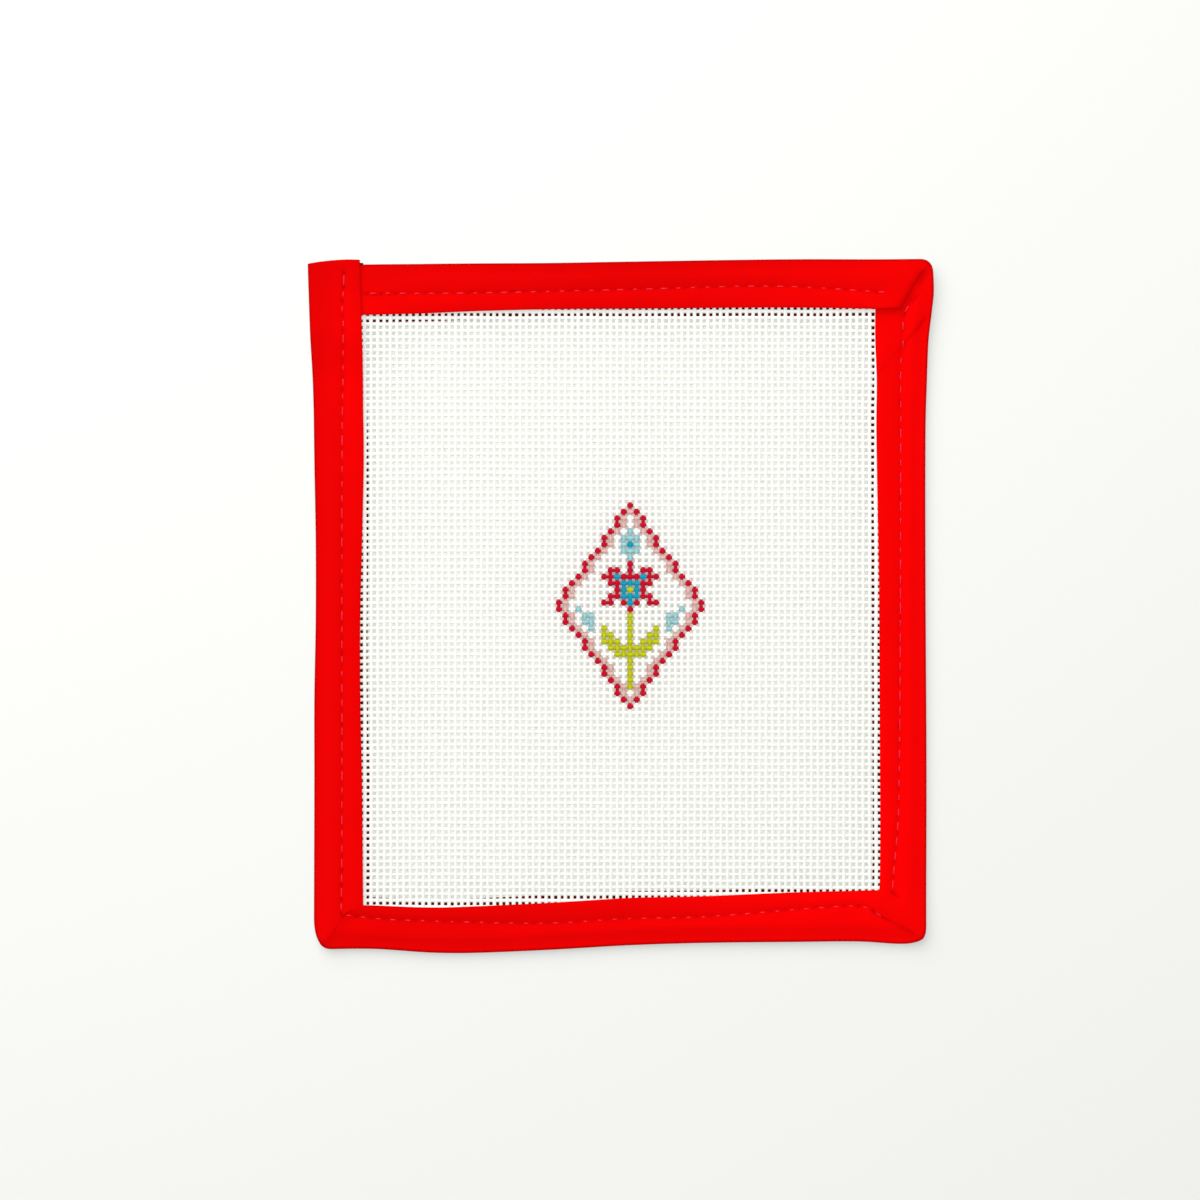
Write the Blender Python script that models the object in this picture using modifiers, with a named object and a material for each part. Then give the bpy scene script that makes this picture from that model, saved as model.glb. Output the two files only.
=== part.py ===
"""A needlepoint canvas panel lying flat, its raw edges bound in folded bias tape.

The canvas is one thin sheet. The tape is two lengths that meet at a diagonal seam below
the top-right corner. It folds over the canvas edge and turns three mitred corners, and
its end laps over its start at the top-left corner.

Run with: blender --background --python part.py
"""

import math
from collections import namedtuple

import bmesh
import bpy

MM = 0.001

# Driving dimensions, in millimetres.
CANVAS_THICK = 1.0
TAPE_THICK = 1.0        # one flap, which is two layers of cotton
TAPE_PRESSED = 0.5      # the tape's start, squashed under its own end
GAP = 0.3               # between one piece and the next
BACK_EXTRA = 1.6        # how much farther in the back flap reaches than the front one
CORNER_RADIUS = 2.4     # the tape's soft outer corners
CURL_HEIGHT = 1.2       # how far the top-right corner lifts off the table
CURL_REACH = 34.0
CREASE_FULL = 0.6       # share of the flap's thickness left in a mitre's crease
UNDER_FULL = 0.78       # the same, just past the crease, where the fold lies over
UNDER_REACH = 9.0
PUCKER_PITCH = 12.0     # soft bumps that the sewing leaves along the front flap
PUCKER_DEPTH = 0.10

# The tape's edges along each leg. "run" goes along the leg, the way the tape was sewn
# (clockwise), and is 0 at the panel's middle. "outer" and "inner" are distances out from
# the panel's middle: the folded edge and the front flap's free edge.
Edge = namedtuple("Edge", "run outer inner")
EDGES = {
    "top": (
        Edge(-68.0, 74.2, 62.9),
        Edge(-55.0, 74.3, 63.2),
        Edge(-42.0, 74.6, 63.5),
        Edge(-31.0, 74.7, 64.1),
        Edge(-15.5, 74.8, 64.6),
        Edge(2.0, 75.1, 64.7),
        Edge(37.0, 75.6, 64.9),
        Edge(55.5, 75.5, 64.3),
        Edge(68.0, 75.5, 63.9),
    ),
    "right": (
        Edge(-75.5, 67.7, 55.4),
        Edge(-68.5, 68.0, 55.3),
        Edge(-64.3, 67.6, 55.2),
        Edge(-57.9, 66.9, 55.2),
        Edge(-49.2, 66.6, 55.6),
        Edge(-38.3, 66.3, 55.5),
        Edge(-5.7, 66.3, 55.9),
        Edge(29.2, 66.5, 56.0),
        Edge(73.5, 66.4, 56.1),
    ),
    "bottom": (
        Edge(-66.5, 73.3, 61.7),
        Edge(-60.7, 73.6, 61.7),
        Edge(-52.0, 73.1, 61.9),
        Edge(-36.7, 73.2, 62.3),
        Edge(-2.0, 73.9, 63.5),
        Edge(15.5, 74.9, 64.6),
        Edge(33.0, 75.6, 65.5),
        Edge(41.7, 75.5, 65.7),
        Edge(54.3, 74.7, 65.1),
        Edge(67.0, 74.8, 64.9),
    ),
    "left": (
        Edge(-75.0, 67.0, 56.1),
        Edge(-37.9, 66.9, 56.4),
        Edge(-20.5, 66.9, 56.8),
        Edge(-3.0, 66.6, 56.9),
        Edge(14.4, 66.6, 56.3),
        Edge(31.8, 66.9, 56.0),
        Edge(44.9, 67.1, 56.1),
        Edge(57.9, 67.6, 56.3),
        Edge(75.5, 68.2, 56.8),
    ),
}

# Each leg's heading and outward side, its stitch line in from the folded edge, and, for
# the mitre at its start, how far the crease bows along the leg.
Leg = namedtuple("Leg", "heading outward stitch_inset mitre_bow")
LEGS = {
    "top": Leg((1, 0), (0, 1), 6.2, 0.0),
    "right": Leg((0, -1), (1, 0), 6.0, 4.2),
    "bottom": Leg((-1, 0), (0, -1), 7.1, -1.6),
    "left": Leg((0, 1), (-1, 0), 6.0, -1.6),
}
BOW_REACH = 11.0
CROWDING = 0.7          # how far the sections bunch up towards a leg's ends, from 0 to 1
BOW_PEAK = 0.6          # where along the crease it bows most, from fold to free edge

# A length of tape is a run of spans. Each goes from one end to the other of the stretch
# that it covers on a leg. An end is a mitred corner or a cut, and a cut is given by its
# place along the leg at the folded edge and at the front and back free edges.
Cut = namedtuple("Cut", "outer front back")
Span = namedtuple("Span", "leg start end steps")
MITRE = None
MITRE_INSET = CORNER_RADIUS * (1 - math.sqrt(0.5))   # from sharp corner to rounded mitre
SEAM_STEP = 1.5 * GAP   # the gap across the seam, measured along the leg
TUCKED_START = Cut(-65.2, -65.2, -65.2)
SEAM_ABOVE = Cut(-63.9, -49.7, -47.6)
SEAM_BELOW = Cut(*(place + SEAM_STEP for place in SEAM_ABOVE))
LAPPED_END = Cut(74.3, 75.2, 74.7)
TAPES = {
    "binding_top_tape": (
        Span("top", TUCKED_START, MITRE, 26),
        Span("right", MITRE, SEAM_ABOVE, 6),
    ),
    "binding_side_tape": (
        Span("right", SEAM_BELOW, MITRE, 20),
        Span("bottom", MITRE, MITRE, 24),
        Span("left", MITRE, LAPPED_END, 26),
    ),
}

# One section of the tape, from the front flap's free edge over the fold to the back's.
# "across" is 0 at the fold, 0.5 at the stitch line and 1 at the free edge. "full" is the
# share of the flap's thickness there.
FlapPoint = namedtuple("FlapPoint", "across full")
FRONT_FLAP = (
    FlapPoint(1.0, 0.80),
    FlapPoint(0.85, 0.98),
    FlapPoint(0.60, 0.95),
    FlapPoint(0.50, 0.70),
    FlapPoint(0.40, 0.95),
    FlapPoint(0.18, 1.0),
    FlapPoint(0.0, 1.0),
)
BACK_FLAP = (
    FlapPoint(0.0, 1.0),
    FlapPoint(0.5, 1.0),
    FlapPoint(1.0, 1.0),
)
FOLD_ANGLES = (60, 30, 0, -30, -60)

# Heights that follow from the layers: back flap, canvas, front flap.
BACK_INNER_Z = TAPE_THICK
CANVAS_Z = BACK_INNER_Z + GAP
FRONT_INNER_Z = CANVAS_Z + CANVAS_THICK + GAP
FOLD_RADIUS = (FRONT_INNER_Z - BACK_INNER_Z) / 2
FOLD_INSET = FOLD_RADIUS + TAPE_THICK
CANVAS_INSET = FOLD_INSET + 0.2

# Where the tape's end laps over its start, each piece rises by the layers under it. "back"
# and "front" count those layers for the faces that look at the canvas. The rise fades out
# past the crossing flaps.
LAP_LIFT = TAPE_PRESSED + GAP
LAP_RIGHT = -54.0
LAP_BOTTOM = 61.0
LAP_FADE = 12.0
Layers = namedtuple("Layers", "back front")
LAP_LAYERS = {
    "binding_top_tape": Layers(1, 1),
    "binding_side_tape": Layers(0, 2),
    "canvas": Layers(1, 1),
}

# How many cells the canvas grid has, across and up.
CANVAS_CELLS = (16, 18)

Paint = namedtuple("Paint", "colour roughness")
PAINTS = {
    "canvas": Paint((0.90, 0.90, 0.87), 0.85),
    "binding_top_tape": Paint((0.85, 0.004, 0.006), 0.75),
    "binding_side_tape": Paint((0.85, 0.004, 0.006), 0.75),
}


def smooth_step(low, high, value):
    """0 at low and 1 at high, with a level start and end."""
    share = min(1.0, max(0.0, (value - low) / (high - low)))
    return share * share * (3 - 2 * share)


def edge_distance(leg, column, run):
    """How far out a leg's edge lies at a place along it, on a smooth curve."""
    rows = EDGES[leg]
    last = len(rows) - 1
    values = [getattr(row, column) for row in rows]
    k = max(0, min(last - 1, sum(row.run <= run for row in rows) - 1))
    width = rows[k + 1].run - rows[k].run
    share = min(1.0, max(0.0, (run - rows[k].run) / width))
    slopes = []
    for i in (k, k + 1):
        low, high = max(0, i - 1), min(last, i + 1)
        slopes.append((values[high] - values[low]) / (rows[high].run - rows[low].run))
    square, cube = share ** 2, share ** 3
    start = (1 - 3 * square + 2 * cube) * values[k]
    end = (3 * square - 2 * cube) * values[k + 1]
    bulge = (share - 2 * square + cube) * slopes[0] + (cube - square) * slopes[1]
    return start + end + width * bulge


def plan_point(leg, run, out):
    """The (x, y) of a point given along a leg and out from the panel's middle."""
    heading, outward = LEGS[leg].heading, LEGS[leg].outward
    return (heading[0] * run + outward[0] * out, heading[1] * run + outward[1] * out)


def corner_runs(leg, column, drop=0.0):
    """Where a leg meets the next one: the corner's run on this leg and on the next."""
    names = list(LEGS)
    following = names[(names.index(leg) + 1) % len(names)]
    run, run_on_next = EDGES[leg][-1].run, EDGES[following][0].run
    for _ in range(4):
        run = edge_distance(following, column, run_on_next) - drop
        run_on_next = drop - edge_distance(leg, column, run)
    return run, run_on_next


def span_end(span, end):
    """The runs of a span's start (end 0) or end (end 1) at its three edges."""
    cut = (span.start, span.end)[end]
    if cut is not MITRE:
        return list(cut)
    names = list(LEGS)
    leg = span.leg if end else names[names.index(span.leg) - 1]
    side = 0 if end else 1
    outer = corner_runs(leg, "outer")[side]
    front = corner_runs(leg, "inner")[side]
    back = corner_runs(leg, "inner", BACK_EXTRA)[side]
    return [outer + (MITRE_INSET if side else -MITRE_INSET), front, back]


def corner_drop(distance):
    """How far a rounded corner lies inside the sharp one, at a distance from it."""
    rest = max(0.0, CORNER_RADIUS - distance)
    return CORNER_RADIUS - math.sqrt(CORNER_RADIUS ** 2 - rest ** 2)


# A station is one cross-section: its points at the folded edge and at the front and back
# free edges, the bow of its front flap, its fullness, and the length of tape before it.
Station = namedtuple("Station", "leg outer front back bow full travel")


def span_stations(span, travel):
    """The cross-sections of one span, closer together at its ends."""
    first, last = span_end(span, 0), span_end(span, 1)
    names = list(LEGS)
    after = names[(names.index(span.leg) + 1) % len(names)]
    stations = []
    for step in range(span.steps + 1):
        even = step / span.steps
        crowded = 0.5 - 0.5 * math.cos(math.pi * even)
        share = even + CROWDING * (crowded - even)
        outer, front, back = [a + (b - a) * share for a, b in zip(first, last)]
        from_start, to_end = outer - first[0], last[0] - outer
        drop, full, bow = 0.0, 1.0, (0.0, 0.0)
        if span.start is MITRE:
            drop = max(drop, corner_drop(MITRE_INSET + from_start))
            full = UNDER_FULL + (1 - UNDER_FULL) * smooth_step(0, UNDER_REACH, from_start)
            reach = LEGS[span.leg].mitre_bow * (1 - smooth_step(0, BOW_REACH, from_start))
            bow = [reach * part for part in LEGS[span.leg].heading]
        if span.end is MITRE:
            drop = max(drop, corner_drop(MITRE_INSET + to_end))
            reach = LEGS[after].mitre_bow * (1 - smooth_step(0, BOW_REACH, to_end))
            bow = [part + reach * way for part, way in zip(bow, LEGS[after].heading)]
        if (span.end is MITRE and step == span.steps) or (span.start is MITRE and step == 0):
            full = CREASE_FULL
        stations.append(Station(
            span.leg,
            plan_point(span.leg, outer, edge_distance(span.leg, "outer", outer) - drop),
            plan_point(span.leg, front, edge_distance(span.leg, "inner", front)),
            plan_point(span.leg, back, edge_distance(span.leg, "inner", back) - BACK_EXTRA),
            bow,
            full,
            travel + from_start,
        ))
    return stations


def tape_stations(spans):
    """All the cross-sections of a length of tape, with each mitre counted once."""
    stations = []
    for span in spans:
        travel = stations[-1].travel if stations else 0.0
        stations += span_stations(span, travel)[1 if stations else 0:]
    return stations


def inward_normals(stations):
    """The direction from the folded edge towards the panel at each station."""
    normals = []
    for i in range(len(stations)):
        before = stations[max(0, i - 1)].outer
        after = stations[min(len(stations) - 1, i + 1)].outer
        ahead_x, ahead_y = after[0] - before[0], after[1] - before[1]
        length = math.hypot(ahead_x, ahead_y)
        normals.append((ahead_y / length, -ahead_x / length))
    return normals


def lap_share(x, y):
    """1 where the tape's end and start cross at the top-left corner, fading to 0."""
    across = 1 - smooth_step(LAP_RIGHT, LAP_RIGHT + LAP_FADE, x)
    return across * smooth_step(LAP_BOTTOM - LAP_FADE, LAP_BOTTOM, y)


def curl(x, y):
    """How far the top-right corner lifts the panel at a point."""
    corner_x, corner_y = EDGES["right"][0].outer, EDGES["top"][-1].outer
    distance = math.hypot(corner_x - x, corner_y - y)
    return CURL_HEIGHT * (1 - smooth_step(0, CURL_REACH, distance))


def inner_heights(node, x, y):
    """The heights of a piece's faces that look at the canvas, back and front."""
    lap, layers = lap_share(x, y) * LAP_LIFT, LAP_LAYERS[node]
    lift = curl(x, y)
    return BACK_INNER_Z + layers.back * lap + lift, FRONT_INNER_Z + layers.front * lap + lift


def section_points(node, station, normal):
    """One section of the tape's inner face, with the share of its thickness at each."""
    fold_x, fold_y = [at + FOLD_INSET * part for at, part in zip(station.outer, normal)]
    outward = LEGS[station.leg].outward
    width = sum((a - b) * part for a, b, part in zip(station.outer, station.front, outward))
    stitch = (LEGS[station.leg].stitch_inset - FOLD_INSET) / (width - FOLD_INSET)
    pucker = 1 - PUCKER_DEPTH * (0.5 + 0.5 * math.sin(math.tau * station.travel / PUCKER_PITCH))
    points = []

    def flap(rows, free_edge, side):
        for row in rows:
            if row.across < 0.5:
                share = 2 * row.across * stitch
            else:
                share = stitch + 2 * (row.across - 0.5) * (1 - stitch)
            bow, full = 0.0, 1.0
            if side == 1:
                bow = share / BOW_PEAK if share < BOW_PEAK else (1 - share) / (1 - BOW_PEAK)
                full = row.full * station.full * (pucker if row.across > 0 else 1.0)
            x = fold_x + (free_edge[0] - fold_x) * share + station.bow[0] * bow
            y = fold_y + (free_edge[1] - fold_y) * share + station.bow[1] * bow
            points.append((x, y, inner_heights(node, x, y)[side], full * pressed(node, x, y)))

    flap(FRONT_FLAP, station.front, 1)
    back_z, front_z = inner_heights(node, fold_x, fold_y)
    for angle in FOLD_ANGLES:
        reach = FOLD_RADIUS * math.cos(math.radians(angle))
        x, y = fold_x - reach * normal[0], fold_y - reach * normal[1]
        z = (front_z + back_z) / 2 + (front_z - back_z) / 2 * math.sin(math.radians(angle))
        points.append((x, y, z, pressed(node, x, y)))
    flap(BACK_FLAP, station.back, 0)
    return points


def pressed(node, x, y):
    """The share of its thickness that a piece keeps where the lap squashes it."""
    if node != "binding_top_tape":
        return 1.0
    return 1 - (1 - TAPE_PRESSED / TAPE_THICK) * lap_share(x, y)


def grid_mesh(name, across, along):
    """A plain grid primitive with across by along vertices, ready to be bent."""
    shape = bmesh.new()
    bmesh.ops.create_grid(shape, x_segments=across - 1, y_segments=along - 1, size=1.0)
    shape.verts.ensure_lookup_table()
    mesh = bpy.data.meshes.new(name)
    shape.to_mesh(mesh)
    shape.free()
    return mesh


def add_piece(name, mesh, collection):
    """Put a mesh in the scene under its own name and material."""
    piece = bpy.data.objects.new(name, mesh)
    collection.objects.link(piece)
    material = bpy.data.materials.new(name)
    material.use_nodes = True
    shader = material.node_tree.nodes["Principled BSDF"]
    shader.inputs["Base Color"].default_value = (*PAINTS[name].colour, 1.0)
    shader.inputs["Roughness"].default_value = PAINTS[name].roughness
    shader.inputs["Metallic"].default_value = 0.0
    mesh.materials.append(material)
    return piece


def build_tape(name, collection):
    """One length of tape: a grid bent over the canvas edge, then given its thickness."""
    stations = tape_stations(TAPES[name])
    sections = [
        section_points(name, station, normal)
        for station, normal in zip(stations, inward_normals(stations))
    ]
    mesh = grid_mesh(name, len(sections[0]), len(sections))
    piece = add_piece(name, mesh, collection)
    fullness = piece.vertex_groups.new(name="fullness")
    for row, section in enumerate(sections):
        for column, (x, y, z, full) in enumerate(section):
            index = row * len(section) + column
            mesh.vertices[index].co = (x * MM, y * MM, z * MM)
            fullness.add([index], full, "REPLACE")
    solid = piece.modifiers.new("flap thickness", "SOLIDIFY")
    solid.thickness = TAPE_THICK * MM
    solid.offset = -1.0
    solid.use_even_offset = True
    solid.vertex_group = fullness.name
    return piece


def build_canvas(collection):
    """The canvas: one sheet that stops just inside the tape's fold."""
    across, along = CANVAS_CELLS[0] + 1, CANVAS_CELLS[1] + 1
    mesh = grid_mesh("canvas", across, along)
    for vertex in mesh.vertices:
        right, up = (vertex.co.x + 1) / 2, (vertex.co.y + 1) / 2
        x, y = 0.0, 0.0
        for _ in range(4):
            low = CANVAS_INSET - edge_distance("left", "outer", y)
            high = edge_distance("right", "outer", -y) - CANVAS_INSET
            x = low + (high - low) * right
            low = CANVAS_INSET - edge_distance("bottom", "outer", -x)
            high = edge_distance("top", "outer", x) - CANVAS_INSET
            y = low + (high - low) * up
        z = CANVAS_Z + lap_share(x, y) * LAP_LIFT + curl(x, y)
        vertex.co = (x * MM, y * MM, z * MM)
    piece = add_piece("canvas", mesh, collection)
    solid = piece.modifiers.new("canvas thickness", "SOLIDIFY")
    solid.thickness = CANVAS_THICK * MM
    solid.offset = 1.0
    solid.use_even_offset = True
    return piece


def centre_on_origin(pieces):
    """Move every piece so that the middle of the whole outline is at x = 0, y = 0."""
    view_layer = bpy.context.evaluated_depsgraph_get()
    corners = [corner for piece in pieces for corner in piece.evaluated_get(view_layer).bound_box]
    for axis in (0, 1):
        reach = [corner[axis] for corner in corners]
        middle = (min(reach) + max(reach)) / 2
        for piece in pieces:
            for vertex in piece.data.vertices:
                vertex.co[axis] -= middle


def main():
    for item in list(bpy.data.objects):
        bpy.data.objects.remove(item)
    collection = bpy.data.collections.new("needlepoint canvas panel")
    bpy.context.scene.collection.children.link(collection)
    pieces = [build_canvas(collection)]
    pieces += [build_tape(name, collection) for name in TAPES]
    centre_on_origin(pieces)


main()
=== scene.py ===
# %% [markdown]
# # A needlepoint canvas panel, bound in red tape
#
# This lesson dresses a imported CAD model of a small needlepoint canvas. The real thing is
# white cotton mono canvas, 18 threads to the inch, with a little painted design for
# someone to stitch over. Its raw edges are wrapped in folded bias tape, sewn down with one
# row of machine stitches. We look straight down on it, on a white table.
#
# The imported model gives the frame: where each piece is and how large. Here the plain
# sheets turn into cloth and thread.

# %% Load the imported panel
import math

import bpy
import numpy as np
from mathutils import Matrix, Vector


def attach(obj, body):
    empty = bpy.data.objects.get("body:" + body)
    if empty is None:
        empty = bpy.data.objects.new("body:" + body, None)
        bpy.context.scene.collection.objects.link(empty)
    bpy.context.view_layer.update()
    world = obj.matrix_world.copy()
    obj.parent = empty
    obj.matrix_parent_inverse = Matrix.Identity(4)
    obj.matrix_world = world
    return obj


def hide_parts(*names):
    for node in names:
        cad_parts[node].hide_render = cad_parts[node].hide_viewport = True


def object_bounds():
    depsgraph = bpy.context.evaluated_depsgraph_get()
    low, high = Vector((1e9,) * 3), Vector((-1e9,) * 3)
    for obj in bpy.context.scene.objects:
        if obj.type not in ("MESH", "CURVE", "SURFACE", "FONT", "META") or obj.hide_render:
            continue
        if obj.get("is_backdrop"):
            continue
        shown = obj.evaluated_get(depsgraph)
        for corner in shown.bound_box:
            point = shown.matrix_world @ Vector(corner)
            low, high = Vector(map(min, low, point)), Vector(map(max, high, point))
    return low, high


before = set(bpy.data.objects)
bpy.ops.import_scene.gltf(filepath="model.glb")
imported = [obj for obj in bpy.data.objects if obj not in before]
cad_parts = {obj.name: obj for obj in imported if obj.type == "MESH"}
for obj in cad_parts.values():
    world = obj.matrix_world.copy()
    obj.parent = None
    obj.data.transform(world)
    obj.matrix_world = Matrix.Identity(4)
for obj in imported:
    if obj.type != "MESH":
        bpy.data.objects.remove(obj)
cad_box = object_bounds()
MM = 0.001

for corner in cad_box:
    print("packed corner, mm:", [round(value / MM, 2) for value in corner])


# %% [markdown]
# ## The table, the camera and the light
#
# The photograph is a product shot from straight above: a wide soft light from the upper
# left, white paper, and almost no shadow. A camera far away with a long lens keeps the
# panel's edges free of perspective. One big lamp could light it all, but a white world
# around it is what fills the shadows in a light tent, so both are used.
#
# The paper is a little greyer than the cotton, and the light is strong enough to make up
# for it. So the threads burn out to an even white, as in the photograph, and the holes
# between them read as soft dots. With whiter paper the holes would nearly vanish.

# %% Camera straight above
PICTURE_WIDTH = 261.36 * MM  # at the height of the cloth
LOOKING_AT = (-4.55 * MM, 1.31 * MM)
CLOTH_HEIGHT = 2.6 * MM
CAMERA_HEIGHT = 0.62


def add_object(name, data):
    """A new object in the scene."""
    added = bpy.data.objects.new(name, data)
    bpy.context.collection.objects.link(added)
    return added


camera = bpy.data.cameras.new("camera")
camera.sensor_width = 36.0
camera.lens = camera.sensor_width * (CAMERA_HEIGHT - CLOTH_HEIGHT) / PICTURE_WIDTH
camera.clip_start = 0.01
camera_object = add_object("camera", camera)
camera_object.location = (*LOOKING_AT, CAMERA_HEIGHT)
bpy.context.scene.camera = camera_object
print("lens, mm:", round(camera.lens, 1))

# %% Light tent
KEY_FROM = (-0.26, 0.44, 0.60)
KEY_SIZE, KEY_WATTS, KEY_COLOUR = 1.0, 4.39, (1.0, 0.995, 0.98)
TENT_STRENGTH, TENT_COLOUR = 0.67, (1.0, 1.0, 0.985, 1.0)
MAX_BOUNCES, DIFFUSE_BOUNCES = 24, 16

scene = bpy.context.scene
scene.view_settings.view_transform = "Standard"
world = bpy.data.worlds.new("light tent")
world.use_nodes = True
tent = world.node_tree.nodes["Background"]
tent.inputs["Color"].default_value = TENT_COLOUR
tent.inputs["Strength"].default_value = TENT_STRENGTH
scene.world = world
scene.cycles.max_bounces = MAX_BOUNCES
scene.cycles.diffuse_bounces = DIFFUSE_BOUNCES

key = bpy.data.lights.new("key light", "AREA")
key.shape = "DISK"
key.size = KEY_SIZE
key.energy = KEY_WATTS
key.color = KEY_COLOUR
key_object = add_object("key light", key)
key_object.location = KEY_FROM
east, north, up = KEY_FROM
tilt = math.atan2(math.hypot(east, north), up)
key_object.rotation_euler = (0.0, tilt, math.atan2(north, east))
print("the key light leans by", round(math.degrees(tilt)), "degrees")

# %% White paper on the table
PAPER_REACH, PAPER_Z = 2.0, -0.00005
PAPER_COLOUR = (0.914, 0.922, 0.906)


def plain_material(name, colour, roughness, specular):
    """A material with one Principled shader, and that shader's node."""
    material = bpy.data.materials.new(name)
    material.use_nodes = True
    shader = material.node_tree.nodes["Principled BSDF"]
    shader.inputs["Base Color"].default_value = (*colour, 1.0)
    shader.inputs["Roughness"].default_value = roughness
    shader.inputs["Specular IOR Level"].default_value = specular
    return material, shader


paper_mesh = bpy.data.meshes.new("paper")
signs = ((-1, -1), (1, -1), (1, 1), (-1, 1))
paper_mesh.from_pydata(
    [(x * PAPER_REACH, y * PAPER_REACH, PAPER_Z) for x, y in signs], [], [(0, 1, 2, 3)]
)
paper_mesh.materials.append(plain_material("white paper", PAPER_COLOUR, 0.9, 0.1)[0])
paper = add_object("paper", paper_mesh)
paper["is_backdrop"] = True


# %% [markdown]
# ## Where the tape lies
#
# Every later step needs to know where the tape's edges are: the outer folded edge, and the
# free edge of the front flap. A hand-sewn panel isn't a rectangle, so each leg has a short
# table of places along it, with how far out the two edges lie there. A smooth curve runs
# through each table. "run" goes along a leg the way it was sewn, clockwise, and "out" is
# the distance from the panel's middle. These are the sizes of the imported model, in
# millimetres, and only the free edge is trimmed, by less than half a millimetre, so cloth
# made from them sits on the model. The back flap reaches farther in than the front one. It
# shows through the canvas there, as a row or two of dark red holes, in real shadow and in
# shade painted onto the inside of the flap.

# %% Tables of the tape's edges
EDGES = {  # (run, outer edge, inner edge)
    "top": (
        (-68.0, 74.2, 63.1), (-55.0, 74.3, 63.45), (-42.0, 74.6, 63.88), (-31.0, 74.7, 64.35),
        (-15.5, 74.8, 64.73), (2.0, 75.1, 64.86), (37.0, 75.6, 65.1), (55.5, 75.5, 64.72),
        (68.0, 75.5, 64.1),
    ),
    "right": (
        (-75.5, 67.7, 55.5), (-68.5, 68.0, 55.4), (-64.3, 67.6, 55.32), (-57.9, 66.9, 55.35),
        (-49.2, 66.6, 55.7), (-38.3, 66.3, 55.62), (-5.7, 66.3, 56.18), (29.2, 66.5, 56.37),
        (50.0, 66.5, 56.46), (73.5, 66.4, 56.2),
    ),
    "bottom": (
        (-66.5, 73.3, 61.8), (-60.7, 73.6, 61.83), (-52.0, 73.1, 62.03), (-36.7, 73.2, 62.44),
        (-18.0, 73.4, 63.25), (-2.0, 73.9, 63.62), (15.5, 74.9, 64.68), (33.0, 75.6, 65.5),
        (41.7, 75.5, 65.72), (54.3, 74.7, 65.25), (67.0, 74.8, 65.0),
    ),
    "left": (
        (-75.0, 67.0, 56.22), (-37.9, 66.9, 56.58), (-20.5, 66.9, 56.92), (-3.0, 66.6, 56.95),
        (14.4, 66.6, 56.54), (31.8, 66.9, 56.18), (44.9, 67.1, 56.33), (57.9, 67.6, 56.42),
        (75.5, 68.2, 56.9),
    ),
}
LEG_NAMES = list(EDGES)
NEXT_LEG = dict(zip(LEG_NAMES, LEG_NAMES[1:] + LEG_NAMES[:1]))
HEADING = {"top": (1, 0), "right": (0, -1), "bottom": (-1, 0), "left": (0, 1)}
OUTWARD = {"top": (0, 1), "right": (1, 0), "bottom": (0, -1), "left": (-1, 0)}
CENTRE_SHIFT = np.array((0.10, -0.03))  # from the tables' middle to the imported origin
BACK_EXTRA = {  # (run, how much farther in the back flap reaches than the front one)
    "top": ((-68.0, 1.3), (-30.0, 1.6), (68.0, 1.6)),
    "right": ((-75.5, 0.4), (-50.0, 0.7), (-35.0, 1.4), (73.5, 1.4)),
    "bottom": ((-66.5, 0.5), (-10.0, 1.1), (20.0, 1.5), (67.0, 1.5)),
    "left": ((-75.0, 1.5), (0.0, 1.4), (40.0, 0.7), (75.5, 0.4)),
}
OUTER, INNER, BACK = 1, 2, 3


def curve_through(table, column, run):
    """A smooth curve through one column of a table, read at one or many places."""
    table = np.asarray(table, float)
    runs, values = table[:, 0], table[:, column]
    run = np.asarray(run, float)
    last = len(runs) - 1
    k = np.clip(np.searchsorted(runs, run, side="right") - 1, 0, last - 1)
    low, high = np.maximum(np.arange(last + 1) - 1, 0), np.minimum(np.arange(last + 1) + 1, last)
    slopes = (values[high] - values[low]) / (runs[high] - runs[low])
    width = runs[k + 1] - runs[k]
    share = np.clip((run - runs[k]) / width, 0, 1)
    square, cube = share**2, share**3
    return (
        (1 - 3 * square + 2 * cube) * values[k]
        + (3 * square - 2 * cube) * values[k + 1]
        + width * ((share - 2 * square + cube) * slopes[k] + (cube - square) * slopes[k + 1])
    )


def edge_out(leg, column, run):
    """How far out a leg's edge lies at a run: outer, front inner or back inner."""
    if column == BACK:
        return curve_through(EDGES[leg], INNER, run) - np.interp(run, *zip(*BACK_EXTRA[leg]))
    return curve_through(EDGES[leg], column, run)


def plan(leg, run, out):
    """Points in plan from runs and distances out, as an (n, 2) array."""
    run, out = np.broadcast_arrays(np.asarray(run, float), np.asarray(out, float))
    return run[..., None] * np.array(HEADING[leg]) + out[..., None] * np.array(OUTWARD[leg])


for leg in LEG_NAMES:
    middle = edge_out(leg, OUTER, 0.0) - edge_out(leg, INNER, 0.0)
    print(f"{leg}: the tape shows {middle:.1f} mm at the middle of the leg")
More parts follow.
